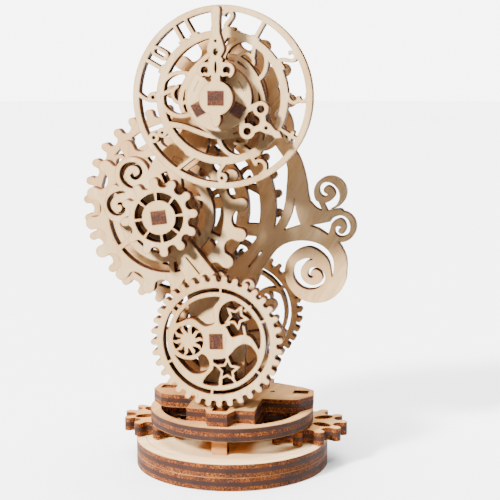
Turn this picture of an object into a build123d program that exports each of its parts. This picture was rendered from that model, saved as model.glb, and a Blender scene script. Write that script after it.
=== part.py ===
"""A wooden clock puzzle cut from sheet: a turning platform with a train of gears, a dial and two hands.

The model stands on the XY plane with its front towards -Y. Upright pieces are drawn in the XZ plane
as seen from the front, flat pieces in the XY plane as seen from above, and both are one sheet thick.
"""
from build123d import *
from math import atan2, cos, degrees, hypot, radians, sin
import os

# ---- sheet and sticks
ply = 3.0                    # thickness of the sheet that every flat piece is cut from
stick_wide = 3.4             # long side of a square-cut stick's section
stick_thick = 3.0            # short side of the same section
run_gap = 0.2                # gap between the faces of two pieces that turn against each other
bore_clearance = 0.06        # room between a stick's corners, or a collar, and the bore it turns in
socket_clearance = 0.02      # room on each side of a stick in its own square socket
tenon_clearance = 0.03       # room on each side of a plate's tenon in its slot

# ---- base and turning platform
base_radius = 22.2           # the two stacked base discs
ring_margin = 2.84           # the turning ring's edge lies this far outside the base gears' pins
platform_gap = 4.0           # height between the base and the ring, where the base gears lie
foot_gap = 0.1               # the posts under the ring stop this far above the base
post_reach = 14.15           # front and rear posts, from the centre
rim_width = 2.3              # the ring's outer rim
spoke_half = 7.7             # half width of the ring's front and rear spokes
pin_wall, land_wide = 1.9, 5.0    # wood around the base gears' pins in the ring, and width of their arms
bracket_margin = 0.5         # the bracket's rear edge lies this far behind the back plate
lug_half = 6.8               # the side lugs begin this far inwards from the gears' pins
lug_recess = 0.6             # the sticks stop this far below the bracket's top

# ---- base gears: a fixed sun and two gears that roll around it
sun_teeth = 8
planet_teeth = 12
base_module = 1.6
planet_turn = 11.0           # degrees by which the gears' centres lie behind the cross line
planet_lift = 0.3            # the base gears run this far above the base

# ---- clock train, its centres seen from the front
left_x = -13.5                         # arbor of the finger gear and the large gear
moon_clearance = 0.55                  # the moon gear's teeth run this far above the bracket
train_spacing = 29.9                   # from the left arbor to the dial's arbor and to the lower arbor
dial_direction = 60.75                 # degrees from +X to the dial's arbor
lower_direction = -65.0                # and to the lower arbor
left_rest_turn = 8.1                   # how far the left arbor stands turned at rest
finger_teeth, hour_teeth = 16, 12      # coarse pair; the lower pinion has the hour gear's teeth
large_teeth, pinion_teeth = 32, 10     # fine pair, behind the rear plate
tooth_share = 0.43                     # part of the tooth pitch that is wood
addendum_share = 0.75                  # tooth height outside the pitch circle, in modules
dedendum_share = 1.04                  # tooth depth inside it

# ---- the other wheels
small_teeth, small_tip, small_root, small_share = 12, 8.7, 6.55, 0.46
moon_teeth, moon_tip, moon_root, moon_share = 36, 14.75, 13.3, 0.52
rear_teeth, rear_tip, rear_root, rear_share = 36, 14.5, 13.1, 0.50
hub_radius = 3.55                      # hubs and washers on the sticks
peg_wide, peg_tall = 2.2, 1.1          # section of the small peg in the front plate
slit = 0.3                             # width of the fine cuts that decorate the two large plates

# ---- dial and hands
dial_outer, dial_band = 19.2, 1.3      # outer ring of the dial and its width
numeral_outer, numeral_band = 14.1, 1.6
dial_hub = 7.9                         # outer radius of the dial's middle ring
numeral_stroke = 0.75                  # width of the bands that draw the figures
figure_height = 3.8                    # height between the dial's rings that the figures are drawn for
sleeve_wall = 0.1                      # wood outside the sticks' corners in the hour sleeve's collar
hour_disc = 6.9                        # the hour hand's disc
hour_pin_circle = 4.75                 # centres of the three sticks that join hour hand and hour gear
hour_pin_wide, hour_pin_thick = 2.6, 2.8
hour_hand_reach, minute_hand_reach = 15.6, 18.7
hour_hand_turn = -31.6                 # degrees from +X at rest, pointing at four

# ---- depths
front_plate_front = -11.1              # front face of the front plate
plate_washers, rear_washer_count = 3, 2    # washers between the large plates, and behind the back plate
washer_play = 0.05                     # first washer's gap behind the finger gear
end_play = 0.1                         # what is left between washers and rear plate, besides the run gap

# ---- worked out from the above
stick_corner = hypot(stick_wide, stick_thick) / 2
journal = stick_corner + bore_clearance
base_top = 2 * ply
ring_bottom = base_top + platform_gap
bracket_bottom = ring_bottom + ply
bracket_top = bracket_bottom + ply
planet_spacing = base_module * (sun_teeth + planet_teeth) / 2
planet_x = planet_spacing * cos(radians(planet_turn))
planet_y = planet_spacing * sin(radians(planet_turn))
platform_radius = planet_spacing + ring_margin
coarse_module = 2 * train_spacing / (finger_teeth + hour_teeth)
fine_module = 2 * train_spacing / (large_teeth + pinion_teeth)
lower_tip = max(moon_tip, rear_tip, coarse_module * (hour_teeth / 2 + addendum_share))
left_z = bracket_top + moon_clearance + lower_tip - train_spacing * sin(radians(lower_direction))
dial_x = left_x + train_spacing * cos(radians(dial_direction))
dial_z = left_z + train_spacing * sin(radians(dial_direction))
lower_x = left_x + train_spacing * cos(radians(lower_direction))
lower_z = left_z + train_spacing * sin(radians(lower_direction))
hour_pin_corner = hypot(hour_pin_circle + hour_pin_wide / 2, hour_pin_thick / 2)
sleeve_radius = hour_pin_corner + sleeve_wall    # the collar that holds the three sticks
sleeve_bore = sleeve_radius + bore_clearance
knob_front = front_plate_front - run_gap - ply   # small front gear and moon gear
spacer_front = front_plate_front - ply
dial_front = spacer_front - ply
hour_front = dial_front - run_gap - ply
minute_front = hour_front - run_gap - ply
coarse_front = front_plate_front + ply + run_gap
coarse_back = coarse_front + ply
rear_plate_front = coarse_back + plate_washers * ply + run_gap + end_play
fine_front = rear_plate_front + ply + run_gap
back_plate_front = fine_front + ply + run_gap
cap_front = back_plate_front + ply + run_gap
rear_wheel_front = cap_front + rear_washer_count * ply
bracket_tab = back_plate_front + ply + bracket_margin    # the bracket's front and rear edges

written = {}


# ---- drawing helpers
def polar(radius, angle):
    """Point at a radius and an angle in degrees."""
    return (radius * cos(radians(angle)), radius * sin(radians(angle)))


def ring(outer, inner):
    """Flat ring about the origin."""
    return Circle(outer) - Circle(inner)


def at(x, y, shape):
    """The shape moved in its drawing plane."""
    return Pos(x, y) * shape


def turned(angle, shape):
    """The shape turned about the drawing plane's origin."""
    return Rot(0, 0, angle) * shape


def around(count, shape, start=0.0):
    """Copies of a shape, evenly spaced about the origin."""
    return [turned(start + 360 * step / count, shape) for step in range(count)]


def blob(points):
    """Closed smooth outline through the points."""
    return make_face(Spline(*points, periodic=True))


def panel(points):
    """Closed straight-sided outline."""
    return make_face(Polyline(*points, close=True))


def offset(x, z, points):
    """The points moved by x and z."""
    return [(x + point[0], z + point[1]) for point in points]


def stroke(points, width):
    """A band of even width with round ends that follows the points."""
    parts = []
    for a, b in zip(points, points[1:]):
        run = hypot(b[0] - a[0], b[1] - a[1])
        tilt = degrees(atan2(b[1] - a[1], b[0] - a[0]))
        parts.append(at((a[0] + b[0]) / 2, (a[1] + b[1]) / 2, turned(tilt, SlotCenterToCenter(run, width))))
    return Sketch() + parts


def arc_slot(inner, outer, start, end):
    """Part of a ring between two angles."""
    middle = (start + end) / 2
    edges = [
        ThreePointArc(polar(inner, start), polar(inner, middle), polar(inner, end)),
        Line(polar(inner, end), polar(outer, end)),
        ThreePointArc(polar(outer, end), polar(outer, middle), polar(outer, start)),
        Line(polar(outer, start), polar(inner, start)),
    ]
    return make_face(edges)


def ribbon(points):
    """Band along a smooth path; each point is given as x, y and the band's width there."""
    left, right = [], []
    for place, (x, y, width) in enumerate(points):
        before = points[max(place - 1, 0)]
        after = points[min(place + 1, len(points) - 1)]
        run = hypot(after[0] - before[0], after[1] - before[1])
        side_x = -(after[1] - before[1]) / run * width / 2
        side_y = (after[0] - before[0]) / run * width / 2
        left.append((x + side_x, y + side_y))
        right.append((x - side_x, y - side_y))
    right.reverse()
    return make_face([Spline(*left), Line(left[-1], right[0]), Spline(*right), Line(right[-1], left[0])])


def star(tip, waist, points=5, start=90.0):
    """Star outline with straight sides."""
    corners = []
    for step in range(2 * points):
        corners.append(polar(tip if step % 2 == 0 else waist, start + 180 * step / points))
    return panel(corners)


def tooth_wheel(teeth, root, pitch, tip, share, phase=0.0):
    """Toothed outline: round tooth ends, radial flanks and a round bottom between the teeth.

    The phase is the direction of one tooth, in degrees.
    """
    step = 360 / teeth
    half = step * share / 2
    foot = root + (pitch - root) * 0.45
    edges = []
    for tooth in range(teeth):
        middle = phase + tooth * step
        edges.append(ThreePointArc(polar(pitch, middle - half), polar(tip, middle),
                                   polar(pitch, middle + half)))
        edges.append(Line(polar(pitch, middle + half), polar(foot, middle + half)))
        edges.append(ThreePointArc(polar(foot, middle + half), polar(root, middle + step / 2),
                                   polar(foot, middle + step - half)))
        edges.append(Line(polar(foot, middle + step - half), polar(pitch, middle + step - half)))
    return make_face(edges)


def gear_blank(teeth, module, phase):
    """A gear's full outline from its tooth count and module."""
    pitch = teeth * module / 2
    root = pitch - dedendum_share * module
    return tooth_wheel(teeth, root, pitch, pitch + addendum_share * module, tooth_share, phase)


def meshed_phase(direction, teeth, phase, mate_teeth):
    """Direction of one tooth of the mate, so that it is in mesh with a gear along a direction."""
    step = 360 / teeth
    lead = (phase - direction) % step
    return direction + 180 - lead * teeth / mate_teeth + 180 / mate_teeth


def socket():
    """Square socket that holds a stick."""
    return Rectangle(stick_wide + 2 * socket_clearance, stick_thick + 2 * socket_clearance)


def upright(outline, front, thickness=ply):
    """Piece standing in the XZ plane, from its front face backwards."""
    drawing = Plane(origin=(0, front, 0), x_dir=(1, 0, 0), z_dir=(0, -1, 0))
    return extrude(drawing * outline, amount=thickness, dir=(0, 1, 0))


def flat(outline, bottom, thickness=ply):
    """Piece lying in the XY plane, from its lower face upwards."""
    return extrude(Plane.XY.offset(bottom) * outline, amount=thickness, dir=(0, 0, 1))


def axle(x, z, front, back, angle=0.0):
    """Stick that runs from front to back."""
    return upright(at(x, z, turned(angle, Rectangle(stick_wide, stick_thick))), front, back - front)


def post(x, y, bottom, top):
    """Stick that stands upright."""
    return flat(at(x, y, Rectangle(stick_wide, stick_thick)), bottom, top - bottom)


def washers(x, z, front, count, angle):
    """A row of round washers pushed onto a stick, touching each other."""
    outline = at(x, z, turned(angle, Circle(hub_radius) - socket()))
    return [upright(outline, front + step * ply, ply) for step in range(count)]


def save(name, *solids):
    """Write one node, which may be a group of equal pieces."""
    written[name] = solids[0] if len(solids) == 1 else Compound(children=list(solids))
    export_step(written[name], f"parts/{name}.step")


# ---- base
def build_base():
    """Two discs, the fixed sun gear and the pivot that the platform turns on."""
    disc = Circle(base_radius)
    save("base_bottom_disc", flat(disc, 0))
    save("base_top_disc", flat(disc - socket(), ply))
    sun = gear_blank(sun_teeth, base_module, 0.0)
    save("sun_gear", flat(sun - socket(), base_top))
    save("pivot_stick", post(0, 0, ply, bracket_top))
    save("pivot_washer", flat(Circle(hub_radius) - socket(), bracket_bottom + foot_gap, ply - foot_gap))


def build_planets():
    """The two gears that roll around the sun gear when the platform turns."""
    pitch = planet_teeth * base_module / 2
    for side, name in ((1, "right_base_gear"), (-1, "left_base_gear")):
        direction = planet_turn if side > 0 else 180 - planet_turn
        phase = meshed_phase(direction, sun_teeth, 0.0, planet_teeth)
        holes = around(6, at(0.62 * pitch, 0, Ellipse(0.24 * pitch, 0.15 * pitch)), phase + 30)
        outline = gear_blank(planet_teeth, base_module, phase) - Circle(journal) - holes
        save(name, flat(at(side * planet_x, planet_y, outline), base_top + planet_lift))


# ---- platform
def pin_places():
    """Centres of the two upright sticks that carry the base gears."""
    return [(-planet_x, planet_y), (planet_x, planet_y)]


def post_places():
    """Centres of the front and rear posts."""
    return [(0, -post_reach), (0, post_reach)]


def build_ring():
    """The ring under the bracket: a rim, a middle, two wide spokes and two lands for the gear pins."""
    inside = platform_radius - rim_width
    spokes = Rectangle(2 * spoke_half, 2 * inside + rim_width)
    shape = ring(platform_radius, inside) + Circle(0.42 * platform_radius) + spokes
    for x, y in pin_places():
        shape += at(x, y, Circle(stick_corner + pin_wall))
        shape += stroke([(0, 0), (0.9 * x, 0.9 * y)], land_wide)
    shape &= Circle(platform_radius)
    for x, y in pin_places() + post_places():
        shape -= at(x, y, socket())
    save("turntable_ring", flat(shape - Circle(journal), ring_bottom))


def tenon_slots():
    """Slots in the bracket for the feet of the three plates."""
    slots = []
    for middle, front, width in plate_feet():
        slots.append(at(middle, front + ply / 2,
                        Rectangle(width + 2 * tenon_clearance, ply + 2 * tenon_clearance)))
    return slots


def plate_feet():
    """Each tenon's middle along X, its front face along Y and its width."""
    return [
        (lower_x + 1.46, front_plate_front, 7.4),
        (lower_x + 2.96, rear_plate_front, 6.6),
        (-4.4, back_plate_front, 2.8),
        (4.4, back_plate_front, 2.8),
    ]


def build_bracket():
    """The cross-shaped plate on the ring, with four lugs over the sticks and slots for the plates."""
    lug = hub_radius
    tab = Rectangle(2 * spoke_half, 2 * bracket_tab)
    arm = planet_x - lug_half + 0.5
    rear = planet_y + lug + 4.0
    shape = tab + panel([(-arm, rear), (arm, rear), (arm, -4.0), (-arm, -4.0)])
    for x, y in post_places():
        outer = y + lug * (1 if y > 0 else -1)
        inner = bracket_tab * (1 if y > 0 else -1)
        shape += panel([(-3.4, inner), (-2.2, outer), (2.2, outer), (3.4, inner), (3.4, 0), (-3.4, 0)])
    for x, y in pin_places():
        side = 1 if x > 0 else -1
        shape += panel([(x - side * lug_half, y - 7.1), (x - side * 1.2, y - 7.1),
                        (x + side * 0.4, y - 6.4),
                        (x + side * 3.1, y - 2.4), (x + side * 2.8, y + 2.1), (x - side * 0.1, y + 4.5),
                        (x - side * lug_half, y + 7.6)])
        shape -= at(x - side * 6.6, y - 0.4, Circle(0.55))
    for x, y in pin_places() + post_places():
        shape -= at(x, y, socket())
    shape -= Circle(hub_radius + bore_clearance)
    shape -= tenon_slots()
    save("turntable_bracket", flat(shape, bracket_bottom))


def build_posts():
    """Front and rear posts, and the two pins that the base gears turn on."""
    top = bracket_top - lug_recess
    for (x, y), name in zip(post_places(), ("front_post", "rear_post")):
        save(name, post(x, y, base_top + foot_gap, top))
    for (x, y), name in zip(pin_places(), ("left_gear_pin", "right_gear_pin")):
        save(name, post(x, y, base_top + foot_gap, top))


# ---- upright plates
def foot(front):
    """Tenon outlines of the plate whose front face is at this depth."""
    tenons = []
    for middle, depth, width in plate_feet():
        if depth == front:
            tenons.append(at(middle, bracket_top - ply / 2, Rectangle(width, ply)))
    return tenons


def build_front_plate():
    """Front plate: a head ring around the hour sleeve, an arm, two scrolls on the left and a leg."""
    head = at(dial_x, dial_z, Circle(sleeve_bore + 2.2))
    arm = blob([(dial_x - 7.6, dial_z + 3), (left_x - 0.4, left_z + 13.8), (left_x - 2.1, left_z + 11.8),
                (left_x - 3.0, left_z + 9.9), (left_x - 4.6, left_z + 5.6), (left_x, left_z + 4),
                (left_x + 4.4, left_z + 6.4), (left_x + 4.3, left_z + 8.3), (left_x + 6.4, left_z + 10.6),
                (dial_x - 4.5, dial_z - 6.6)])
    core = stroke([(left_x + 2.0, left_z + 12.0), (dial_x - 5.0, dial_z - 4.0)], 4.0)
    hub = at(left_x, left_z, Circle(7.6))
    upper = at(left_x - 6.8, left_z + 9.0, Circle(3.9))
    lower = at(left_x - 10.0, left_z + 1.8, Circle(3.4))
    web = blob([(left_x - 10.7, left_z + 6.7), (left_x - 9.6, left_z + 6.3), (left_x - 7.5, left_z + 5.6),
                (left_x - 4.2, left_z + 8.6), (left_x, left_z), (left_x - 8.0, left_z - 2.2),
                (left_x - 12.4, left_z + 0.2), (left_x - 12.9, left_z + 3.4)])
    leg = panel([(left_x - 2.2, left_z - 6.9), (left_x + 2.9, left_z - 9.6),
                 (lower_x - 7.7, lower_z + 13.4),
                 (lower_x - 6.0, lower_z), (lower_x - 2.2, bracket_top), (lower_x + 5.6, bracket_top),
                 (lower_x + 5.8, lower_z), (lower_x + 2.0, lower_z + 9.0), (lower_x - 1.0, lower_z + 14.8),
                 (left_x + 5.8, left_z - 5.1), (left_x + 4.0, left_z)])
    shape = Sketch() + [head, arm, core, hub, upper, lower, web, leg] + foot(front_plate_front)
    shape -= at(left_x - 6.8, left_z + 9.0, ribbon([
        (0.9, -2.9, 0.3), (-1.0, -2.3, 0.8), (-2.2, -0.5, 1.1), (-1.7, 1.5, 1.1), (0.2, 2.4, 0.8),
        (1.8, 1.6, 0.7),
        (2.0, 0.1, 0.7), (0.8, -0.7, 0.9), (-0.1, 0.2, 0.9)]))
    shape -= at(left_x - 10.0, left_z + 1.8, ribbon([
        (1.6, 3.3, 0.3), (-0.5, 2.9, 0.8), (-2.0, 1.4, 1.0), (-1.9, -0.6, 0.9), (-0.2, -1.6, 0.8),
        (1.2, -0.7, 0.8),
        (0.9, 0.6, 0.7), (-0.1, 0.6, 0.5)]))
    shape -= at(left_x + 0.9, left_z + 8.5, turned(22, Rectangle(1.5, 2.4)))
    shape -= at(left_x + 3.6, left_z + 12.3, turned(-22, socket_for_peg()))
    shape -= stroke([(left_x + 5.3, left_z - 9.1), (left_x + 8.3, left_z - 12.7)], slit)
    shape -= at(dial_x, dial_z, Circle(sleeve_bore))
    for x, z in ((left_x, left_z), (lower_x, lower_z)):
        shape -= at(x, z, Circle(journal))
    save("front_plate", upright(shape, front_plate_front))
    peg = at(left_x + 3.6, left_z + 12.3, turned(-22, Rectangle(peg_wide, peg_tall)))
    save("plate_peg", upright(peg, front_plate_front))


def socket_for_peg():
    """Hole for the small peg in the front plate's arm."""
    return Rectangle(peg_wide + 2 * socket_clearance, peg_tall + 2 * socket_clearance)


def tail_outline():
    """The rear plate's tail on the right: two bands that meet and end in three scrolls.

    It is drawn from the left arbor, and its upper end from the dial's arbor.
    """
    rise_x, rise_z = dial_x - left_x, dial_z - left_z
    upper_start = offset(rise_x, rise_z, [(10.29, -10.49), (12.89, -12.69)])
    upper_end = offset(rise_x, rise_z, [(10.09, -14.09), (8.29, -10.49)])
    body = blob(upper_start + [(29.3, 9.3), (30.1, 5.5), (30.9, 2), (32.9, 0.2), (35.5, 0.1), (38.1, 0.3),
                (37.7, -3.4), (33.9, -5), (29, -5.6), (21.7, -6.4), (23.6, -2.5), (25, 1.6),
                (25.5, 7.2)] + upper_end)
    band = blob([(21.1, -12), (25.5, -11.8), (30.5, -10.2), (34.5, -13.4), (38.5, -15.9), (39.4, -12.1),
                 (38.8, -9.6), (37.4, -7.2), (34.5, -4), (30.5, -3.5), (26.5, -4.1), (21.5, -5.4),
                 (17.5, -8.4)])
    top = at(35.4, 4.2, Circle(3.75))
    middle = at(37.9, -3.6, Circle(3.55))
    large = at(32.2, -14.3, Circle(7.15))
    shape = Sketch() + [body, band, top, middle, large]
    shape -= ribbon([(30.9, 2.5, 1), (32.5, 1.45, 1.25), (33.8, 1, 1.5), (35.9, 1.6, 1.6),
                     (37.05, 3.6, 0.95), (36.2, 5.5, 0.75), (34.6, 6.1, 0.85), (33.4, 5.1, 1),
                     (33.8, 3.8, 1), (34.7, 3.6, 0.5)])
    shape += at(33.8, 0.9, turned(25, Rectangle(1.0, 2.6)))
    shape -= ribbon([(35.5, -3.1, 0.3), (36.7, -1.7, 0.7), (38.3, -1.5, 0.85), (39.5, -3, 0.9),
                     (39.4, -4.7, 0.8), (38.2, -5.6, 0.7), (37, -5, 0.8), (37.1, -4, 0.8),
                     (37.9, -3.9, 0.5)])
    shape -= panel([(30.7, -3.5), (32.8, -4.2), (35, -5.6), (35.7, -3.2), (35.5, -2.5), (33.7, -2.9)])
    shape -= blob([(20, -13.9), (21.4, -11.5), (23.8, -8.7), (26.3, -7.4), (29.6, -7), (33.9, -8.2),
                   (35.9, -10.4), (36.4, -13), (36, -15.4), (35.6, -13.1), (33.9, -10.1), (30.9, -8.5),
                   (28.2, -9.1), (26.1, -10.9), (24.8, -13.6), (22.5, -16.4)])
    shape -= ribbon([(31.5, -11.3, 0.2), (29.7, -11.6, 0.9), (28, -13.4, 1.75), (28.35, -16.2, 1.75),
                     (30.4, -17.7, 1.35), (32.7, -17.5, 0.85), (34.1, -16, 0.6), (33.9, -14.5, 0.6),
                     (32.5, -13.4, 0.55), (31.1, -13.7, 0.6), (30.7, -14.8, 0.7), (31.6, -15.4, 0.6)])
    window = make_face([Polyline((28.7, -3.4), (24.8, -4.7)),
                        Spline((24.8, -4.7), (26.2, -1.8), (27.2, 2.9)),
                        Spline((27.2, 2.9), (27.6, -0.2), (28.7, -3.4))])
    return at(left_x, left_z, shape - window)


def build_rear_plate():
    """Rear plate: a disc and a band around the left arbor, a head, a leg and the scrolled tail."""
    disc = ring(16.6, 13.9) + Circle(8.4)
    for angle in (-52, 8, 68, 128, 188, 248):
        disc += turned(angle, at(11.2, 0, Rectangle(6.4, 2.6)))
    bands = disc + arc_slot(19.3, 22.9, -19, 62)
    bands += panel([(12.9, -6), (15.1, -3.3), (19.9, -3.5), (21.7, -6.4)])
    head = at(dial_x, dial_z, Circle(8.6))
    yoke = blob(offset(dial_x, dial_z, [(-7.5, -3), (8.3, -1), (12.09, -9.69), (10.49, -13.59),
                    (8.89, -10.89), (7.19, -12.09), (3.09, -12.09), (-2.61, -8.09)]))
    upper_left = offset(left_x, left_z, [(19.2, -4.4), (18.2, -6.9), (16.2, -9.5), (14, -11.5),
        (11.7, -14)])
    lower_left = [(lower_x - 5.6, lower_z + 3), (lower_x - 3.4, lower_z - 5), (lower_x - 0.74, bracket_top)]
    lower_right = offset(lower_x, lower_z, [(8.56, -7.3), (5.76, 4.7), (5.26, 8.5), (5.86, 9.7)])
    lower_right.insert(0, (lower_x + 8.56, bracket_top))
    upper_right = offset(left_x, left_z, [(19.6, -14), (21.4, -11.5), (23.5, -7.9), (22.1, -5.4)])
    leg = panel(upper_left + lower_left + lower_right + upper_right)
    shape = at(left_x, left_z, bands) + [head, yoke, leg, tail_outline()] + foot(rear_plate_front)
    shape -= at(left_x, left_z, stroke([(19.7, -9.6), (16.7, -13.4)], slit))
    for x, z in ((left_x, left_z), (lower_x, lower_z), (dial_x, dial_z)):
        shape -= at(x, z, Circle(journal))
    save("rear_plate", upright(shape, rear_plate_front))

def build_back_plate():
    """Back plate behind the large gear: three hubs joined by a bent strip, with two feet."""
    hubs = [at(dial_x, dial_z, Circle(5.6)), at(left_x, left_z, Circle(6.2)),
            at(lower_x, lower_z, Circle(6.4))]
    upper = stroke([(left_x, left_z), (left_x + 4.0, left_z + 15.0), (dial_x, dial_z)], 6.0)
    lower = stroke([(left_x, left_z), (left_x + 5.0, left_z - 13.0), (lower_x, lower_z)], 6.4)
    feet = [panel([(lower_x - 5.6, lower_z), (-5.8, bracket_top), (-3.0, bracket_top),
                   (lower_x + 0.2, lower_z)]),
            panel([(lower_x - 0.2, lower_z), (3.0, bracket_top), (5.8, bracket_top),
                   (lower_x + 6.2, lower_z)])]
    shape = Sketch() + hubs + [upper, lower] + feet + foot(back_plate_front)
    for x, z in ((left_x, left_z), (lower_x, lower_z), (dial_x, dial_z)):
        shape -= at(x, z, Circle(journal))
    save("back_plate", upright(shape, back_plate_front))


# ---- left arbor
def build_left_arbor():
    """Stick, small front gear, finger gear, large gear and washers, which all turn together."""
    turn = left_rest_turn
    save("left_axle", axle(left_x, left_z, knob_front, cap_front + ply, turn))

    small = tooth_wheel(small_teeth, small_root, (small_root + small_tip) / 2 + 0.2, small_tip, small_share)
    windows = around(8, arc_slot(3.75, 5.5, 3.2, 41.8))
    save("small_front_gear", left_piece(small - windows - socket(), knob_front))

    finger = gear_blank(finger_teeth, coarse_module, 0.0) - Circle(13.2)
    wheel = finger + ring(10.9, 9.1) + Circle(4.6) + around(6, at(12.0, 0, Rectangle(3.2, 1.1)), 28)
    wheel += around(6, scroll_spoke() & Circle(9.6), 10)
    save("finger_gear", left_piece(wheel - socket(), coarse_front))

    large = gear_blank(large_teeth, fine_module, 0.0) - Circle(19.9)
    wheel = large + ((ring(11.4, 9.4) + Circle(6.0) + around(6, large_spoke(), 4)) & Circle(20.4))
    save("large_gear", left_piece(wheel - socket(), fine_front))

    save("left_washers", *washers(left_x, left_z, coarse_back + washer_play, plate_washers, turn))
    save("left_end_cap", *washers(left_x, left_z, cap_front, 1, turn))


def left_piece(outline, front):
    """Piece fixed on the left arbor, at the arbor's rest turn."""
    return upright(at(left_x, left_z, turned(left_rest_turn, outline)), front)


def scroll_spoke():
    """A bowed spoke with a small ring in its hollow side, from a hub out to a ring 9 mm away."""
    bow = ribbon([(3.2, 0.0, 1.2), (5.4, 1.6, 0.9), (7.6, 1.5, 0.9), (10.4, -0.6, 1.3)])
    return bow + at(6.7, 0.0, ring(1.55, 0.85))


def large_spoke():
    """A bowed spoke of the large gear with a curl beside it near the rim."""
    bow = ribbon([(5.4, 0.0, 1.8), (9.0, 1.8, 1.3), (13.0, 2.6, 1.3), (16.5, 1.6, 1.4), (20.2, -1.2, 2.0)])
    curl = ribbon([(14.2, 2.6, 1.0), (15.6, 5.0, 1.1), (18.0, 5.6, 1.1), (18.9, 3.8, 1.0), (17.6, 2.9, 0.9),
                   (16.9, 3.8, 0.8)])
    return bow + curl


# ---- lower arbor
def build_lower_arbor():
    """Stick, moon gear in front, pinion in mesh with the finger gear, and the rear wheel."""
    phase = meshed_phase(lower_direction, finger_teeth, left_rest_turn, hour_teeth)
    turn = phase % 30 + 90
    save("lower_axle", axle(lower_x, lower_z, knob_front, rear_wheel_front + ply, turn))
    save("moon_gear", upright(at(lower_x, lower_z, moon_outline(turn)), knob_front))

    blank = gear_blank(hour_teeth, coarse_module, phase)
    pinion = blank - around(6, arc_slot(5.4, 9.0, 6, 54), phase) - turned(turn, socket())
    save("lower_pinion", upright(at(lower_x, lower_z, pinion), coarse_front))

    wheel = tooth_wheel(rear_teeth, rear_root, (rear_root + rear_tip) / 2, rear_tip, rear_share, turn)
    wheel -= around(6, arc_slot(10.9, 11.8, 2, 58), turn)
    wheel -= Circle(10.1)
    wheel += (Circle(3.9) + around(6, scroll_spoke(), turn)) & Circle(10.5)
    save("rear_wheel", upright(at(lower_x, lower_z, wheel - turned(turn, socket())), rear_wheel_front))

    save("lower_washers", *washers(lower_x, lower_z, coarse_back + washer_play, plate_washers, turn),
         *washers(lower_x, lower_z, fine_front, 1, turn))
    save("rear_washers", *washers(lower_x, lower_z, cap_front, rear_washer_count, turn))


def moon_outline(turn):
    """The moon gear: fine teeth, a slotted ring, and a sun, two moons and two stars around the hub."""
    blank = tooth_wheel(moon_teeth, moon_root, (moon_root + moon_tip) / 2, moon_tip, moon_share, turn)
    blank -= around(6, arc_slot(11.0, 11.95, 1.3, 58.7), 25)
    inside = Circle(10.1)
    lens = blob([(-9.0, 4.1), (-7.6, 6.6), (-4.6, 9.0), (-1.6, 9.9), (0.9, 9.8), (-0.2, 8.2), (-0.7, 6.0),
                 (-0.4, 4.2), (-1.4, 3.5), (-2.5, 3.3), (-4.3, 4.4), (-6.3, 4.8)])
    upper_night = blob([(1.4, 3.7), (2.6, 2.6), (3.6, 1.1), (5.0, 1.5), (6.4, 1.7), (8.0, 0.9), (9.5, -1.4),
                        (9.9, 1.5), (9.2, 4.2), (7.3, 6.9), (5.6, 8.6), (3.4, 9.2), (1.3, 7.9), (0.6, 5.7)])
    lower_night = blob([(-0.5, -3.9), (1.2, -3.8), (2.9, -3.0), (3.9, -1.8), (5.2, -0.6), (6.8, -0.3),
                        (8.4, -1.4),
                        (9.2, -3.6), (7.9, -6.1), (5.2, -8.6), (1.0, -9.9), (-3.0, -9.4),
                        (-1.5, -7.1), (-0.6, -5.2)])
    hollow = blob([(-9.1, -3.4), (-6.3, -4.3), (-4.3, -3.8), (-3.2, -2.9), (-2.1, -3.6), (-1.5, -5.0),
                   (-2.3, -6.8),
                   (-4.4, -7.5), (-7.1, -6.1)])
    windows = [(lens + upper_night + lower_night + hollow) & inside, at(-6.3, 0, Circle(3.45))]
    rays = [turned(36 * step, panel([(1.4, -0.5), (1.5, 0.45), (2.6, 0.85), (3.6, 0.25), (3.6, 0.0),
                                     (2.7, 0.1)]))
            for step in range(10)]
    sun = at(-6.3, 0, Circle(1.7) + rays)
    stars = [at(4.5, 5.6, star(3.0, 1.5, start=64) - star(1.8, 0.92, start=64)),
             at(2.5, -6.3, star(3.0, 1.5, start=88) - star(1.85, 0.95, start=88))]
    ties = [stroke([(1.2, 3.4), (2.9, 4.1)], 0.55), stroke([(6.4, 7.1), (7.6, 8.0)], 0.6),
            stroke([(6.1, 3.5), (6.5, 1.5)], 0.55), stroke([(2.5, -4.2), (2.3, -3.0)], 0.6),
            stroke([(-1.0, -4.9), (0.4, -5.6)], 0.55), stroke([(1.0, -8.3), (0.9, -10.2)], 0.75),
            stroke([(3.7, -8.2), (4.6, -9.4)], 0.55)]
    return (blank - windows) + [sun & at(-6.3, 0, Circle(3.6))] + stars + ties - turned(turn, socket())


# ---- dial, hour sleeve and minute arbor
def figure_line(*points):
    """Curved band of one figure, as wide as the figures are drawn."""
    return ribbon([(x, y, numeral_stroke) for x, y in points])


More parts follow.
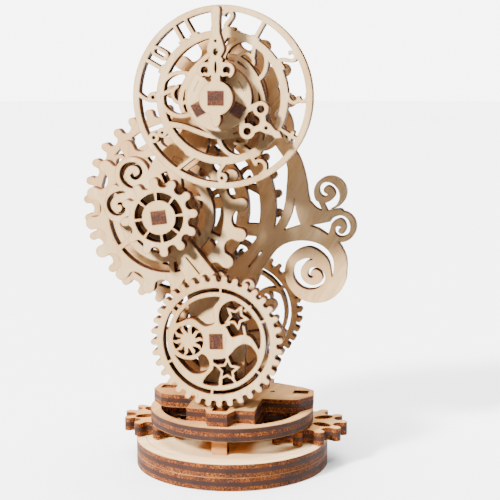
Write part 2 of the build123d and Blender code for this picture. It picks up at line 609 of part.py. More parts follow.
def numeral_strokes(name):
    """Bands that draw one figure in a box about 2.2 wide and 4 high, its foot at the origin."""
    width = numeral_stroke
    loop = ring(1.15, 1.15 - width)
    serif = stroke([(-0.7, 0.15), (0.7, 0.15)], 0.6)
    figures = {
        "0": [at(0, 2, SlotOverall(4.0, 2.2, rotation=90) - SlotOverall(2.7, 0.85, rotation=90))],
        "1": [stroke([(0, -0.2), (0, 4.2)], width), serif],
        "2": [figure_line((-0.9, 2.7), (-0.5, 3.6), (0.4, 3.8), (0.9, 3.0), (0.5, 2.0), (-0.6, 0.5)),
              stroke([(-0.7, 0.15), (1.2, 0.15)], width)],
        "3": [figure_line((-0.9, 3.8), (0.2, 3.9), (0.8, 3.1), (0.4, 2.3), (-0.3, 2.1)),
              figure_line((-0.3, 2.1), (0.7, 1.9), (1.0, 1.0), (0.3, 0.1), (-1.0, 0.1))],
        "4": [stroke([(0.5, -0.2), (0.5, 4.2)], width),
              stroke([(0.5, 4.0), (-1.1, 1.2), (1.3, 1.2)], width)],
        "5": [stroke([(1.0, 3.8), (-0.7, 3.8), (-0.7, 2.2)], width),
              figure_line((-0.8, 2.3), (0.4, 2.5), (1.0, 1.4), (0.4, 0.2), (-1.0, 0.0))],
        "6": [at(0, 0.95, loop), figure_line((-0.8, 1.2), (-0.4, 2.6), (0.9, 4.3))],
        "7": [stroke([(-0.9, 3.9), (0.9, 3.9), (-0.8, -0.2)], width)],
        "8": [at(0, 0.8, loop), at(0, 2.95, ring(1.05, 1.05 - width))],
        "9": [at(0, 3.05, loop), figure_line((0.8, 2.8), (0.4, 1.4), (-0.9, -0.3))],
    }
    return Sketch() + figures[name]


def numeral(hour):
    """The figures of one hour, in place between the dial's two rings."""
    figures = [numeral_strokes(digit) for digit in str(hour)]
    if len(figures) == 2:
        figures = [at(-1.35, 0, figures[0]), at(1.35, 0, figures[1])]
    height = dial_outer - dial_band - numeral_outer
    shape = scale(Sketch() + figures, by=height / figure_height)
    if 4 <= hour <= 9:
        shape = at(0, height, turned(180, shape))
    return turned(-30 * hour, at(0, numeral_outer, shape))


def dial_scroll():
    """One of the three scrolled spokes of the dial: a long bow, a loop and a small scroll in the loop."""
    bow = ribbon([(1.3, 8.7, 0.9), (3.7, 8.1, 1.0), (6.1, 5.9, 1.1), (7.9, 2.6, 1.1), (8.7, 0.0, 1.0),
                  (9.2, -2.9, 1.0),
                  (10.0, -5.6, 1.1), (11.2, -7.6, 1.6)])
    middle = polar(8.8, 56)
    loop = at(middle[0], middle[1], ring(5.0, 4.15))
    curl = at(middle[0], middle[1], ring(2.2, 1.5) - turned(-40, at(1.8, 0, Rectangle(1.4, 1.5))))
    tie = stroke([polar(10.8, 52), polar(13.2, 58)], 0.8)
    return Sketch() + [bow, loop, curl, tie]


def build_dial():
    """The open dial and the ring that holds it off the front plate."""
    figures = [numeral(hour) for hour in range(1, 13)]
    between = ring(dial_outer - 0.2, numeral_outer - 0.6)
    rings = ring(dial_outer, dial_outer - dial_band) + ring(numeral_outer, numeral_outer - numeral_band)
    shape = rings + ring(dial_hub, sleeve_bore) + [figure & between for figure in figures]
    shape += around(3, dial_scroll())
    shape = (shape & Circle(dial_outer)) - Circle(sleeve_bore)
    save("dial", upright(at(dial_x, dial_z, shape), dial_front))
    save("dial_spacer", upright(at(dial_x, dial_z, ring(dial_hub, sleeve_bore)), spacer_front))


def hour_pin_sketches(extra):
    """The three square sticks of the hour sleeve, grown by a clearance on each side."""
    pin = Rectangle(hour_pin_wide + 2 * extra, hour_pin_thick + 2 * extra)
    return around(3, at(hour_pin_circle, 0, pin), hour_hand_turn)


def build_hour_sleeve():
    """Hour hand on its disc, a collar in the front plate, the hour gear, and three sticks through them."""
    sockets = hour_pin_sketches(socket_clearance)
    phase = meshed_phase(dial_direction, finger_teeth, left_rest_turn, hour_teeth)
    gear = gear_blank(hour_teeth, coarse_module, phase) - Circle(journal) - sockets
    save("hour_gear", upright(at(dial_x, dial_z, gear), coarse_front))
    collar = Circle(sleeve_radius) - Circle(journal) - sockets
    save("hour_collar", upright(at(dial_x, dial_z, collar), front_plate_front))

    reach = hour_hand_reach
    arms = [stroke([(6.4, 1.2 * side), (7.4, 2.6 * side), (8.8, 2.9 * side), (reach - 5.0, 0.6 * side)],
                   1.25)
            for side in (1, -1)]
    curls = [at(8.7, 2.7 * side, ring(1.65, 0.8)) for side in (1, -1)]
    neck = panel([(reach - 5.6, 1.3), (reach - 3.4, 1.05), (reach - 2.0, 0.6), (reach - 1.2, 0.85),
                  (reach, 0),
                  (reach - 1.2, -0.85), (reach - 2.0, -0.6), (reach - 3.4, -1.05), (reach - 5.6, -1.3)])
    hand = Circle(hour_disc) + arms + curls + neck
    hand -= at(reach - 3.9, 0, Circle(0.38))
    hand -= [at(8.7, 2.7 * side, Circle(0.8)) for side in (1, -1)]
    hand = turned(hour_hand_turn, hand) - Circle(journal) - sockets
    save("hour_hand", upright(at(dial_x, dial_z, hand), hour_front))

    sticks = []
    for pin in hour_pin_sketches(0.0):
        sticks.append(upright(at(dial_x, dial_z, pin), hour_front, coarse_back - hour_front))
    save("hour_sticks", *sticks)


def build_minute_arbor():
    """Minute hand, its stick, the pinion that the large gear drives, and washers."""
    save("minute_axle", axle(dial_x, dial_z, minute_front, cap_front + ply))
    top = minute_hand_reach
    right = [(1.0, 6.4), (1.55, 7.9), (1.1, 8.4), (1.75, 9.6), (1.8, 10.2), (1.45, 11.4), (0.85, 13.2),
             (0.8, 15.4), (0.95, top - 0.7), (0.7, top)]
    stem = panel([(0.9, 2.9)] + right + [(-x, z) for x, z in reversed(right)] + [(-0.9, 2.9)])
    leaf = blob([(0, -3.0), (1.0, -4.5), (0, -6.0), (-1.0, -4.5)])
    hand = Circle(hub_radius) + [stem, leaf]
    for side in (1, -1):
        hand += at(2.3 * side, 5.7, Circle(1.6)) + panel([(0.2 * side, 5.0), (2.3 * side, 4.2),
                                                          (2.3 * side, 7.2),
                                                         (0.2 * side, 7.6)])
        hand -= at(2.3 * side, 5.7, Circle(0.78)) + at(1.9 * side, 4.05,
                                                       turned(20 * side, Ellipse(0.95, 0.42)))
        hand += at(2.2 * side, 5.0, Ellipse(0.4, 0.25))
    hand -= [at(0, 9.4, Ellipse(0.5, 0.75)), at(0, 11.6, Circle(0.3)), at(0, 6.3, Ellipse(0.26, 1.2))]
    save("minute_hand", upright(at(dial_x, dial_z, hand - socket()), minute_front))

    phase = meshed_phase(dial_direction, large_teeth, left_rest_turn, pinion_teeth)
    pinion = gear_blank(pinion_teeth, fine_module, phase)
    save("minute_pinion", upright(at(dial_x, dial_z, pinion - socket()), fine_front))
    save("minute_washers", *washers(dial_x, dial_z, coarse_back + run_gap, plate_washers, 0.0))
    save("minute_end_cap", *washers(dial_x, dial_z, cap_front, 1, 0.0))


os.makedirs("parts", exist_ok=True)
build_base()
build_planets()
build_ring()
build_bracket()
build_posts()
build_front_plate()
build_rear_plate()
build_back_plate()
build_left_arbor()
build_lower_arbor()
build_dial()
build_hour_sleeve()
build_minute_arbor()
print(len(written), "nodes")
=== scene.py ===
"""Looks of the wooden clock puzzle: bare birch plywood, cut with a laser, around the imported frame."""
import logging
import math
from dataclasses import dataclass, field
from enum import Enum
from typing import Any, Union

import bmesh
import bpy
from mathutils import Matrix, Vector


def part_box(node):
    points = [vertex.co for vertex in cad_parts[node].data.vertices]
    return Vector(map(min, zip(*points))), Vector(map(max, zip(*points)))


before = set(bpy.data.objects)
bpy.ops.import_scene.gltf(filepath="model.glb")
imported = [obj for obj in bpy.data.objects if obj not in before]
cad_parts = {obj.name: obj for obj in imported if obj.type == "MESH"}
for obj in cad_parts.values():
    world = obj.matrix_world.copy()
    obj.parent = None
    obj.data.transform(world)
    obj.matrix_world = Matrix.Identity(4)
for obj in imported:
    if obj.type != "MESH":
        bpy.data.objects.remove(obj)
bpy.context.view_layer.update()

MM = 0.001
SHEET = 3.0 * MM
GRAIN_SWAY = 7.0             # how far the grain of neighbouring pieces differs, in degrees
RIM_LINE = 0.90              # place of the engraved lines on the base, as a share of its radius
DISC_LINE = 5.4 * MM         # radius of the burnt lines on the hour hand's disc
SHEEN = 0.28                 # specular level of bare wood
BUMP = 0.6                   # strength of every bump
RELIEF = 0.12 * MM           # depth of the wood's relief
SCORCH = 0.40 * MM           # usual width of the toasted border
LINE_WIDE = 0.08 * MM        # half width of a burnt line
LINE_SOFT = 0.16 * MM        # half width with its soft edge
LINE_FADE = 0.05             # length over which a burnt line fades at its ends, in radians
CORE_LOW, CORE_HIGH = 0.355, 0.675     # the middle ply, as shares of the sheet's thickness
SEAM_HALF = 0.025            # half width of the change between plies, as such a share
GLUE_LINE = 0.030            # half width of the dark line between plies
RIM_PLY = 0.05               # share of the thickness that is lighter next to a face
WAVINESS = 0.10              # how far the plies wander
SEED_STEP = 1.7              # difference between the patterns of neighbouring pieces
LOG = logging.getLogger("clock")

Number = Union[int, float]
Colour = tuple[float, float, float]
Mark = tuple[float, float, float, float, float]
STILL: Colour = (0.0, 0.0, 0.0)


class SheetAxis(Enum):
    """Direction across the sheet that a piece was cut from."""

    X = (1.0, 0.0, 0.0)
    Y = (0.0, 1.0, 0.0)
    Z = (0.0, 0.0, 1.0)


class Value:
    """A number inside a node tree, with arithmetic written as Python expressions."""

    def __init__(self, tree: "Shader", socket: Any) -> None:
        """Wraps one output socket.

        Args:
            tree: The shader that the socket belongs to.
            socket: The output socket.
        """
        self.tree = tree
        self.socket = socket

    def _maths(self, operation: str, *others: "Value | Number", clamp: bool = False) -> "Value":
        """Adds one Math node and returns its result."""
        node = self.tree.node("ShaderNodeMath", {"operation": operation, "use_clamp": clamp},
                              {place: other for place, other in enumerate((self, *others))})
        return Value(self.tree, node.outputs[0])

    def __add__(self, other: "Value | Number") -> "Value":
        """Sum."""
        return self._maths("ADD", other)

    __radd__ = __add__

    def __mul__(self, other: "Value | Number") -> "Value":
        """Product."""
        return self._maths("MULTIPLY", other)

    __rmul__ = __mul__

    def __sub__(self, other: "Value | Number") -> "Value":
        """Difference."""
        return self._maths("SUBTRACT", other)

    def __rsub__(self, other: "Value | Number") -> "Value":
        """Reflected difference."""
        node = self.tree.node("ShaderNodeMath", {"operation": "SUBTRACT"}, {0: other, 1: self})
        return Value(self.tree, node.outputs[0])

    def __truediv__(self, other: "Value | Number") -> "Value":
        """Quotient."""
        return self._maths("DIVIDE", other)

    def __abs__(self) -> "Value":
        """Size without its sign."""
        return self._maths("ABSOLUTE")

    def __pow__(self, other: "Value | Number") -> "Value":
        """Power."""
        return self._maths("POWER", other)

    def clamped(self) -> "Value":
        """The value held between 0 and 1."""
        return self._maths("ADD", 0.0, clamp=True)

    def sine(self) -> "Value":
        """Sine of an angle in radians."""
        return self._maths("SINE")

    def direction(self, across: "Value") -> "Value":
        """Angle in radians of the point whose height is this value."""
        return self._maths("ARCTAN2", across)

    def step(self, low: Number, high: Number) -> "Value":
        """Smooth rise from 0 at low to 1 at high; falls where low is above high.

        Args:
            low: Value at which the result is 0.
            high: Value at which the result is 1.

        Returns:
            The eased value.
        """
        flipped = low > high
        settings = {"interpolation_type": "SMOOTHSTEP"}
        sockets = {"Value": self, "From Min": min(low, high), "From Max": max(low, high),
                   "To Min": 1.0 if flipped else 0.0, "To Max": 0.0 if flipped else 1.0}
        return Value(self.tree, self.tree.node("ShaderNodeMapRange", settings, sockets).outputs[0])


class Shader:
    """A material's node tree and the few kinds of node that the finishes use."""

    def __init__(self, name: str) -> None:
        """Starts an empty material.

        Args:
            name: Name of the material.
        """
        self.material = bpy.data.materials.new(name)
        self.material.use_nodes = True
        self.nodes = self.material.node_tree.nodes
        self.links = self.material.node_tree.links
        self.nodes.clear()
        self.coordinates = self.node("ShaderNodeTexCoord", {}, {})

    def node(self, kind: str, settings: dict[str, Any], sockets: dict[Any, Any]) -> Any:
        """Adds one node.

        Args:
            kind: Type of the node.
            settings: Attributes, set before the sockets; "ramp" holds a ramp's stops.
            sockets: Values or links of the inputs, by name or number.

        Returns:
            The new node.
        """
        new = self.nodes.new(kind)
        for key, value in settings.items():
            if key == "ramp":
                self._fill_ramp(new.color_ramp, value)
            else:
                setattr(new, key, value)
        for key, value in sockets.items():
            target = new.inputs[key]
            if isinstance(value, Value):
                self.links.new(value.socket, target)
            elif isinstance(value, bpy.types.NodeSocket):
                self.links.new(value, target)
            else:
                target.default_value = value
        return new

    @staticmethod
    def _fill_ramp(ramp: Any, stops: list[tuple[float, Colour]]) -> None:
        """Sets a colour ramp's stops."""
        while len(ramp.elements) > 1:
            ramp.elements.remove(ramp.elements[-1])
        ramp.elements[0].position = stops[0][0]
        ramp.elements[0].color = (*stops[0][1], 1.0)
        for place, colour in stops[1:]:
            ramp.elements.new(place).color = (*colour, 1.0)

    def parts(self, vector: Any) -> tuple[Value, Value, Value]:
        """The three coordinates of a vector socket."""
        split = self.node("ShaderNodeSeparateXYZ", {}, {0: vector})
        return tuple(Value(self, split.outputs[place]) for place in range(3))

    def stretched(self, scale: Colour, turn: Colour, shift: Colour) -> Any:
        """Object coordinates, moved, turned and scaled.

        Args:
            scale: Pattern repeats per metre along each axis.
            turn: Turn about each axis, in radians.
            shift: Move, in metres before scaling.

        Returns:
            The vector socket.
        """
        placed = self.node("ShaderNodeMapping", {"vector_type": "POINT"},
                           {"Vector": self.coordinates.outputs["Object"], "Location": shift,
                            "Rotation": turn})
        grown = self.node("ShaderNodeVectorMath", {"operation": "MULTIPLY"}, {0: placed.outputs[0], 1: scale})
        return grown.outputs[0]

    def noise(self, vector: Any, detail: float, rough: float, bend: float) -> Value:
        """Noise between about 0 and 1 at a vector whose unit is one blotch."""
        made = self.node("ShaderNodeTexNoise", {}, {"Vector": vector, "Scale": 1.0, "Detail": detail,
                                                    "Roughness": rough, "Distortion": bend})
        return Value(self, made.outputs[0])

    def ramp(self, value: Value, stops: list[tuple[float, Colour]]) -> Any:
        """Colour of a value, read from stops."""
        return self.node("ShaderNodeValToRGB", {"ramp": stops}, {0: value}).outputs[0]

    def mix(self, share: "Value | Number", first: Any, second: Any) -> Any:
        """Mixes two colours.

        Args:
            share: Weight of the second colour.
            first: Colour or socket.
            second: Colour or socket.

        Returns:
            The colour socket.
        """
        made = self.node("ShaderNodeMix", {"data_type": "RGBA", "clamp_factor": True}, {0: share})
        for place, colour in ((6, first), (7, second)):
            if isinstance(colour, tuple):
                made.inputs[place].default_value = (*colour, 1.0)
            else:
                self.links.new(colour, made.inputs[place])
        return made.outputs[2]

    def finish(self, colour: Any, rough: "Value | Number", height: Value, depth: float) -> bpy.types.Material:
        """Closes the tree with one Principled shader.

        Args:
            colour: Base colour socket.
            rough: Roughness.
            height: Height for the bump, 0 to 1.
            depth: Depth of a height of 1, in metres.

        Returns:
            The material.
        """
        bump = self.node("ShaderNodeBump", {}, {"Strength": BUMP, "Distance": depth, "Height": height})
        shader = self.node("ShaderNodeBsdfPrincipled", {},
                           {"Base Color": colour, "Roughness": rough, "Normal": bump.outputs[0],
                            "Specular IOR Level": SHEEN})
        self.node("ShaderNodeOutputMaterial", {}, {"Surface": shader.outputs[0]})
        return self.material


@dataclass(frozen=True)
class Tone:
    """Colours of a sheet's faces."""

    light: Colour
    middle: Colour
    dark: Colour


@dataclass(frozen=True)
class Pattern:
    """A noise pattern that can run along the grain.

    Fields:
        along: Repeats per metre along the grain.
        across: Repeats per metre across it.
        detail: Number of finer layers.
        rough: Strength of the finer layers.
        bend: How far the pattern is bent.
    """

    along: float
    across: float
    detail: float = 2.0
    rough: float = 0.5
    bend: float = 0.0

    def draw(self, tree: Shader, turn: Colour, shift: Colour) -> Value:
        """Makes the pattern in a shader.

        Args:
            tree: The shader.
            turn: Turn that lays the grain along X, in radians.
            shift: Move of the pattern for one piece, in metres.

        Returns:
            A value between about 0 and 1.
        """
        scale = (self.along, self.across, self.across)
        return tree.noise(tree.stretched(scale, turn, shift), self.detail, self.rough, self.bend)


BROAD = Pattern(22.0, 60.0, 2.0, 0.45, 0.4)          # slow change of tone
FIGURE = Pattern(30.0, 230.0, 4.0, 0.6, 0.8)         # the wood's figure
FIBRE = Pattern(260.0, 2600.0, 3.0, 0.6)             # fine lines along the grain
FLECKS = Pattern(420.0, 2100.0, 1.0, 0.4)            # short dark pores
BLOTCH = Pattern(700.0, 700.0)                       # unevenness of the toasted border
WANDER = Pattern(160.0, 160.0)                       # waviness of the plies on an edge
SPECKLE = Pattern(3100.0, 3100.0, 2.0, 0.7)          # grains of char on an edge
SMOKE = Pattern(210.0, 210.0, 3.0, 0.55)             # broad smoke stains on an edge
PAPER = Pattern(3.0, 3.0, 1.0)                       # unevenness of the table
PAPER_ROUGH, PAPER_RELIEF = 0.75, 0.1 * MM

PALE = Tone((0.88, 0.64, 0.35), (0.80, 0.53, 0.25), (0.58, 0.31, 0.12))
# Darker copy of the pale tone: painted shade for the back and inner pieces, the sticks among them.
INNER_PAINTED_SHADE = Tone((0.82, 0.56, 0.29), (0.70, 0.42, 0.18), (0.46, 0.22, 0.075))
# Darkest copy of the pale tone: painted shade for the lying base pieces under the strong top light, also worn
# by the posts and pins.
DEEP_PAINTED_SHADE = Tone((0.66, 0.38, 0.15), (0.54, 0.27, 0.09), (0.33, 0.13, 0.04))
TOAST: Colour = (0.44, 0.17, 0.035)
CHAR: Colour = (0.15, 0.05, 0.02)
LINE_BURN: Colour = (0.30, 0.16, 0.07)
FLECK: Colour = (0.36, 0.20, 0.10)
SOOT: Colour = (0.03, 0.010, 0.005)
SOFT_RIM: Colour = (0.60, 0.30, 0.09)
SPECKLED_PLY = [(0.40, (0.018, 0.004, 0.001)), (0.50, (0.10, 0.020, 0.002)), (0.58, (0.30, 0.078, 0.006)),
                (0.70, (0.58, 0.23, 0.022))]
DARK_PLY = [(0.35, (0.012, 0.004, 0.002)), (0.55, (0.034, 0.010, 0.004)), (0.72, (0.090, 0.026, 0.008))]
STICK_END = ((0.010, 0.003, 0.001), (0.070, 0.014, 0.003))
DIAL_CENTRE = (Vector(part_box("minute_axle")[0]) + Vector(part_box("minute_axle")[1])) / 2


@dataclass(frozen=True)
class Plywood:
    """Birch plywood with laser-cut edges.

    Fields:
        axis: Direction across the sheet.
        start: Place of the sheet's lowest face along that direction, in metres.
        tone: Colours of the faces.
        grain: Direction of the face grain in the sheet's plane, in degrees.
        seed: Shift of the pattern, so that no two pieces look alike.
        core_dark: Whether the middle ply is cut along its grain and looks dark.
        scorch: Width of the toasted border on the faces, in metres.
        burn: How far the edges are charred beyond the usual, 0 to 1.
        marks: Rings or arcs burnt into the face: centre x, centre y, radius, from and to degrees.
    """

    axis: SheetAxis
    start: float
    tone: Tone = PALE
    grain: float = 90.0
    seed: float = 0.0
    core_dark: bool = True
    scorch: float = SCORCH
    burn: float = 0.0
    marks: tuple[Mark, ...] = ()

    def build(self, name: str) -> bpy.types.Material:
        """Makes the material.

        Args:
            name: Name of the material.

        Returns:
            The material.
        """
        tree = Shader(name)
        colour, height = self._faces(tree)
        edge = self._edge_share(tree)
        burnt, burnt_height = self._edges(tree)
        colour = tree.mix(edge, colour, burnt)
        rough = 0.62 + 0.12 * burnt_height * edge
        return tree.finish(colour, rough, height * (1.0 - edge) + burnt_height * edge, RELIEF)

    def _turn(self) -> Colour:
        """Turn that lays the face grain along X."""
        angle = math.radians(-self.grain)
        if self.axis is SheetAxis.Y:
            return (0.0, -angle, 0.0)
        if self.axis is SheetAxis.X:
            return (angle, 0.0, 0.0)
        return (0.0, 0.0, angle)

    def _shift(self) -> Colour:
        """Shift of the pattern for this piece."""
        return (0.031 * self.seed, 0.047 * self.seed, 0.023 * self.seed)

    def _faces(self, tree: Shader) -> tuple[Any, Value]:
        """Colour and height of the sheet's two faces."""
        turn, shift = self._turn(), self._shift()
        broad, figure, fibre, flecks = (pattern.draw(tree, turn, shift)
                                        for pattern in (BROAD, FIGURE, FIBRE, FLECKS))
        tone = self.tone
        shade = (0.55 * broad + 0.45 * figure).clamped()
        colour = tree.ramp(shade, [(0.30, tone.dark), (0.45, tone.middle), (0.58, tone.light),
                                   (0.75, tone.middle)])
        rings = abs((figure * 9.0).sine())
        colour = tree.mix(0.16 * rings.step(0.55, 1.0), colour, tone.dark)
        colour = tree.mix(0.30 * fibre.step(0.52, 0.70), colour, tone.dark)
        colour = tree.mix(0.55 * flecks.step(0.70, 0.78), colour, FLECK)
        near = self._near_edge(tree)
        toast = near * (0.55 + 0.9 * BLOTCH.draw(tree, STILL, shift)).clamped()
        colour = tree.mix(0.9 * toast.step(0.05, 0.70), colour, TOAST)
        colour = tree.mix(toast.step(0.62, 1.0), colour, CHAR)
        for mark in self.marks:
            colour = tree.mix(0.75 * self._mark(tree, mark), colour, LINE_BURN)
        return colour, fibre * 0.5 + figure * 0.3

    def _mark(self, tree: Shader, mark: Mark) -> Value:
        """Share of an arc burnt into the face."""
        x, y, z = tree.parts(tree.coordinates.outputs["Object"])
        across = x - mark[0]
        up = (z if self.axis is SheetAxis.Y else y) - mark[1]
        far = (across * across + up * up) ** 0.5
        line = abs(far - mark[2]).step(LINE_SOFT, LINE_WIDE)
        angle = up.direction(across)
        low, high = math.radians(mark[3]), math.radians(mark[4])
        return line * angle.step(low, low + LINE_FADE) * angle.step(high, high - LINE_FADE)

    def _near_edge(self, tree: Shader) -> Value:
        """1 at the rim of a face, falling to 0 a little way in."""
        made = tree.node("ShaderNodeAmbientOcclusion", {"samples": 6, "inside": True, "only_local": True},
                         {"Distance": self.scorch})
        return (1.0 - Value(tree, made.outputs["AO"])).clamped()

    def _edge_share(self, tree: Shader) -> Value:
        """1 on cut edges, 0 on the sheet's faces."""
        parts = tree.parts(tree.coordinates.outputs["Normal"])
        across = parts[list(SheetAxis).index(self.axis)]
        return abs(across).step(0.75, 0.55)

    def _edges(self, tree: Shader) -> tuple[Any, Value]:
        """Colour and height of the burnt edges, ply by ply."""
        shift = self._shift()
        place = tree.parts(tree.coordinates.outputs["Object"])[list(SheetAxis).index(self.axis)]
        wander, speckle, smoke = (pattern.draw(tree, STILL, shift) for pattern in (WANDER, SPECKLE, SMOKE))
        depth = (place - self.start) / SHEET + (wander - 0.5) * WAVINESS
        core = depth.step(CORE_LOW - SEAM_HALF, CORE_LOW + SEAM_HALF)
        core = core * depth.step(CORE_HIGH + SEAM_HALF, CORE_HIGH - SEAM_HALF)
        toasted = tree.ramp(speckle * 0.7 + smoke * 0.3, SPECKLED_PLY)
        charred = tree.ramp(speckle * 0.4 + smoke * 0.6, DARK_PLY)
        dark = core if self.core_dark else 1.0 - core
        colour = tree.mix(dark, toasted, charred)
        colour = tree.mix(0.6 * smoke.step(0.54, 0.68), colour, SOOT)
        seams = abs(depth - CORE_LOW).step(GLUE_LINE, 0.0) + abs(depth - CORE_HIGH).step(GLUE_LINE, 0.0)
        colour = tree.mix(0.6 * seams.clamped(), colour, SOOT)
        rim = depth.step(RIM_PLY, 0.0) + depth.step(1.0 - RIM_PLY, 1.0)
        colour = tree.mix(0.5 * rim.clamped(), colour, SOFT_RIM)
        ends = tree.mix(speckle.step(0.4, 0.6), *STICK_END)
        colour = tree.mix(self.burn, colour, ends)
        return colour, speckle * 0.8 + dark * 0.2


@dataclass
class SubAssembly:
    """A group of pieces that are dressed alike.

    Fields:
        nodes: Each piece's name and the direction across its sheet.
        tone: Colours of the faces.
        grain: Direction of the face grain, in degrees.
        first_seed: Seed of the first piece's pattern.
        light_core: Pieces whose outer plies look dark instead of the middle one.
        burn: How far the edges are charred beyond the usual, 0 to 1.
        scorch: Width of the toasted border, in metres.
        marks: Burnt lines on the faces, by piece.
    """

    nodes: dict[str, SheetAxis]
    tone: Tone = PALE
    grain: float = 90.0
    first_seed: float = 1.0
    light_core: tuple[str, ...] = ()
    burn: float = 0.0
    scorch: float = SCORCH
    marks: dict[str, tuple[Mark, ...]] = field(default_factory=dict)

    def dress(self) -> None:
        """Gives every node its own sheet of plywood."""
        for place, (name, axis) in enumerate(self.nodes.items()):
            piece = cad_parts[name]
            low = Vector(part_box(name)[0])
            start = low[list(SheetAxis).index(axis)]
            finish = Plywood(axis=axis, start=start, tone=self.tone,
                             grain=self.grain + GRAIN_SWAY * (place % 3 - 1),
                             seed=self.first_seed + SEED_STEP * place, core_dark=name not in self.light_core,
                             burn=self.burn, scorch=self.scorch,
                             marks=self.marks.get(name, ()))
            wear(piece, finish.build(name + "_plywood"))
            LOG.info("%s dressed", name)


def wear(piece: bpy.types.Object, material: bpy.types.Material) -> None:
    """Puts one material on every slot of a piece.

    Args:
        piece: The object.
        material: The material.
    """
    if not piece.material_slots:
        piece.data.materials.append(material)
    for slot in piece.material_slots:
        slot.material = material


@dataclass(frozen=True)
class Sun:
    """A light that falls evenly on the table and the model.

    Fields:
        name: Name of the light.
        source: Direction that it comes from.
        spread: Width of its disc, in degrees, which softens the shadows.
        power: Its power, in watts per square metre.
    """

    name: str
    source: Colour
    spread: float
    power: float

    def hang(self) -> None:
        """Adds the light to the scene."""
        light = bpy.data.lights.new(self.name, "SUN")
        light.energy = self.power
        light.angle = math.radians(self.spread)
        lamp = bpy.data.objects.new(self.name, light)
        lamp.location = self.source
        lamp.rotation_euler = (-Vector(self.source)).to_track_quat("-Z", "Y").to_euler()
        bpy.context.scene.collection.objects.link(lamp)


@dataclass(frozen=True)
class Panel:
    """A soft square light that looks at the model.

    Fields:
        name: Name of the light.
        place: Where it stands, in metres.
        size: Its side, in metres.
        power: Its power, in watts.
    """

    name: str
    place: Colour
    size: float
    power: float

    def hang(self) -> None:
        """Adds the light to the scene."""
        light = bpy.data.lights.new(self.name, "AREA")
        light.energy = self.power
        light.size = self.size
        lamp = bpy.data.objects.new(self.name, light)
        lamp.location = self.place
        aim = Vector(LOOK_AT) - Vector(self.place)
        lamp.rotation_euler = aim.to_track_quat("-Z", "Y").to_euler()
        bpy.context.scene.collection.objects.link(lamp)


LOOK_AT: Colour = (0.0, 0.0, 0.05)
LIGHTS = (Sun("key", (-0.55, -0.72, 0.62), 9.0, 13.5), Sun("top", (-0.12, 0.10, 0.98), 60.0, 12.5),
          Panel("fill", (0.75, -0.70, 0.30), 0.80, 1.2))


@dataclass
class Studio:
    """White table, soft lights and the camera.

    Fields:
        camera_place: Where the camera stands, in metres.
        camera_turn: Its tilt and its turn about Z, in degrees.
        lens: Its focal length, in millimetres.
        floor_size: Side of the table, in metres.
        glow: Brightness of the backdrop.
        sky: Brightness of the surroundings.
    """

    camera_place: Colour = (0.05104, -0.26941, 0.09112)
    camera_turn: tuple[float, float] = (90.0 - 8.632, 9.864)
    lens: float = 87.47
    floor_size: float = 6.0
    glow: float = 6.8
    sky: float = 0.13

    def build(self) -> None:
        """Makes the floor, the lights, the sky and the camera."""
        self._floor()
        self._backdrop()
        self._sky()
        for light in LIGHTS:
            light.hang()
        camera = bpy.data.cameras.new("camera")
        camera.lens = self.lens
        camera.clip_start = 0.01
        viewer = bpy.data.objects.new("camera", camera)
        viewer.location = self.camera_place
        viewer.rotation_euler = (math.radians(self.camera_turn[0]), 0.0, math.radians(self.camera_turn[1]))
        bpy.context.scene.collection.objects.link(viewer)
        bpy.context.scene.camera = viewer

    def _floor(self) -> None:
        """Plain pale floor."""
        mesh = bpy.data.meshes.new("floor")
        shape = bmesh.new()
        bmesh.ops.create_grid(shape, x_segments=1, y_segments=1, size=self.floor_size / 2)
        shape.to_mesh(mesh)
        shape.free()
        floor = bpy.data.objects.new("floor", mesh)
        bpy.context.scene.collection.objects.link(floor)
        tree = Shader("floor_paper")
        wave = PAPER.draw(tree, STILL, STILL)
        colour = tree.ramp(wave, [(0.3, (0.93, 0.93, 0.94)), (0.7, (0.95, 0.95, 0.955))])
        mesh.materials.append(tree.finish(colour, PAPER_ROUGH, wave, PAPER_RELIEF))
        floor.visible_diffuse = False

    def _backdrop(self) -> None:
        """White dome that is seen behind the table but lights nothing."""
        mesh = bpy.data.meshes.new("backdrop")
        shape = bmesh.new()
        bmesh.ops.create_uvsphere(shape, u_segments=48, v_segments=24, radius=self.floor_size * 0.49)
        bmesh.ops.reverse_faces(shape, faces=shape.faces)
        shape.to_mesh(mesh)
        shape.free()
        dome = bpy.data.objects.new("backdrop", mesh)
        bpy.context.scene.collection.objects.link(dome)
        tree = Shader("backdrop_white")
        glow = tree.node("ShaderNodeEmission", {}, {"Color": (1.0, 1.0, 1.0, 1.0), "Strength": self.glow})
        tree.node("ShaderNodeOutputMaterial", {}, {"Surface": glow.outputs[0]})
        mesh.materials.append(tree.material)
        dome.visible_diffuse = False
        dome.visible_glossy = False
        dome.visible_shadow = False

    def _sky(self) -> None:
        """Even white surroundings."""
        world = bpy.data.worlds.new("studio")
        world.use_nodes = True
        background = world.node_tree.nodes["Background"]
        background.inputs[0].default_value = (1.0, 1.0, 1.0, 1.0)
        background.inputs[1].default_value = self.sky
        bpy.context.scene.world = world


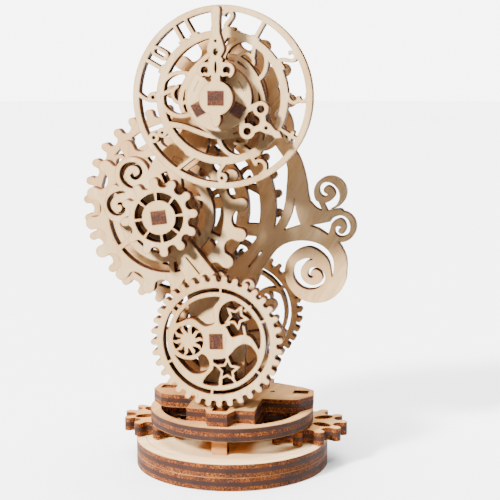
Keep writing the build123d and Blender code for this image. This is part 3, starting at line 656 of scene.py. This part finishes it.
def sub_assemblies() -> list[SubAssembly]:
    """The clock's sub-assemblies, each with the direction across its pieces' sheets."""
    lying, standing, along_x = SheetAxis.Z, SheetAxis.Y, SheetAxis.X
    rim = Vector(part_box("base_top_disc")[1]).x * RIM_LINE
    rim_lines = tuple((0.0, 0.0, rim, start, start + 48.0) for start in (-166.0, -62.0))
    disc_lines = tuple((DIAL_CENTRE.x, DIAL_CENTRE.z, DISC_LINE, start, start + 30.0)
                       for start in (12.0, 138.0))
    return [
        SubAssembly({"base_bottom_disc": lying, "base_top_disc": lying, "sun_gear": lying,
                     "pivot_stick": standing, "pivot_washer": lying}, PALE, 10.0, 1.0,
                    marks={"base_top_disc": rim_lines}),
        # The lying base pieces, and the posts and pins below, wear the darkest tone, which is painted shade.
        SubAssembly({"turntable_ring": lying, "turntable_bracket": lying, "left_base_gear": lying,
                     "right_base_gear": lying}, DEEP_PAINTED_SHADE, 80.0, 9.0, ("turntable_ring",), scorch=0.9 * MM),
        SubAssembly({"front_post": standing, "rear_post": standing, "left_gear_pin": standing,
                     "right_gear_pin": standing}, DEEP_PAINTED_SHADE, 0.0, 17.0, scorch=0.8 * MM),
        SubAssembly({"front_plate": standing, "dial": standing, "plate_peg": standing}, PALE, 75.0, 23.0),
        # The back and inner pieces and the sticks wear the darker tone, which is painted shade.
        SubAssembly({"rear_plate": standing, "back_plate": standing, "dial_spacer": standing},
                    INNER_PAINTED_SHADE, 68.0, 27.0),
        SubAssembly({"small_front_gear": standing, "finger_gear": standing}, PALE, 100.0, 31.0),
        SubAssembly({"large_gear": standing, "left_washers": standing, "left_end_cap": standing},
                    INNER_PAINTED_SHADE, 84.0, 36.0),
        SubAssembly({"minute_hand": standing, "minute_end_cap": standing}, PALE, 90.0, 41.0),
        SubAssembly({"minute_pinion": standing, "minute_washers": standing, "hour_collar": standing,
                     "hour_gear": standing, "lower_pinion": standing}, INNER_PAINTED_SHADE, 60.0, 45.0),
        SubAssembly({"hour_hand": standing}, PALE, 60.0, 49.0, marks={"hour_hand": disc_lines}),
        SubAssembly({"moon_gear": standing}, PALE, 95.0, 55.0),
        SubAssembly({"lower_washers": standing, "rear_washers": standing, "rear_wheel": standing},
                    INNER_PAINTED_SHADE, 95.0, 58.0),
        SubAssembly({"left_axle": lying, "lower_axle": along_x, "minute_axle": lying, "hour_sticks": lying},
                    INNER_PAINTED_SHADE, 0.0, 63.0, burn=0.75),
    ]


def main() -> None:
    """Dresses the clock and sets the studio."""
    logging.basicConfig(level=logging.INFO, format="%(name)s: %(message)s")
    for group in sub_assemblies():
        group.dress()
    Studio().build()


if __name__ == "__main__":
    main()
